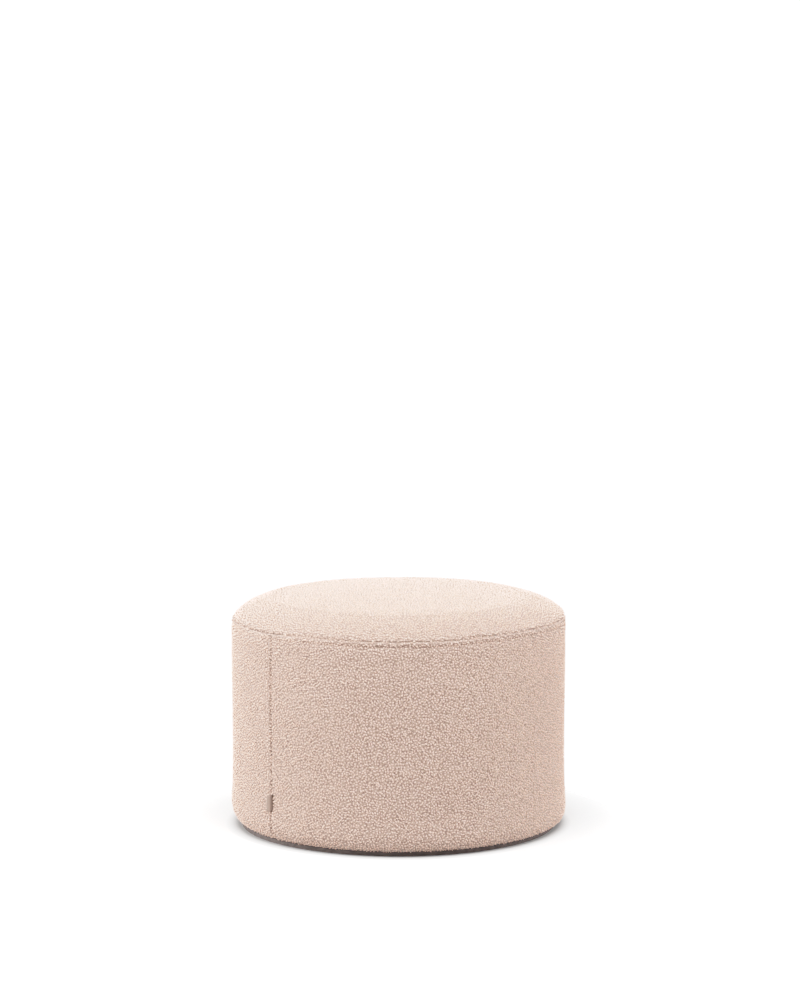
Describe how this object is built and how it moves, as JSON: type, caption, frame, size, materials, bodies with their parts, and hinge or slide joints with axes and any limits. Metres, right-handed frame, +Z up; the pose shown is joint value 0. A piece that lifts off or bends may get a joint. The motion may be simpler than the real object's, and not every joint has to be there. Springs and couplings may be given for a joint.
{
  "type": "footstool",
  "caption": "Low round footstool: a padded drum in short curly pile cloth with a crowned top, a stitched-down seam under the shoulder and a board set back under it.",
  "frame": {"origin": "on the floor, under the middle of the stool", "axes": "+Z up; -Y is the front that the picture shows, and +X is its right"},
  "size_m": [0.6003, 0.6016, 0.42],
  "materials": {
    "pile_cloth": "short curly looped pile, matt, pale pinkish beige",
    "tab_tape": "smooth close-woven tape, grey-beige, blank",
    "dark_board": "plain board, painted near black, matt"
  },
  "bodies": {
    "root": {"top_panel": "pile_cloth", "side_panel": "pile_cloth", "seam_tab": "tab_tape", "foot_board": "dark_board"}
  },
  "joints": []
}
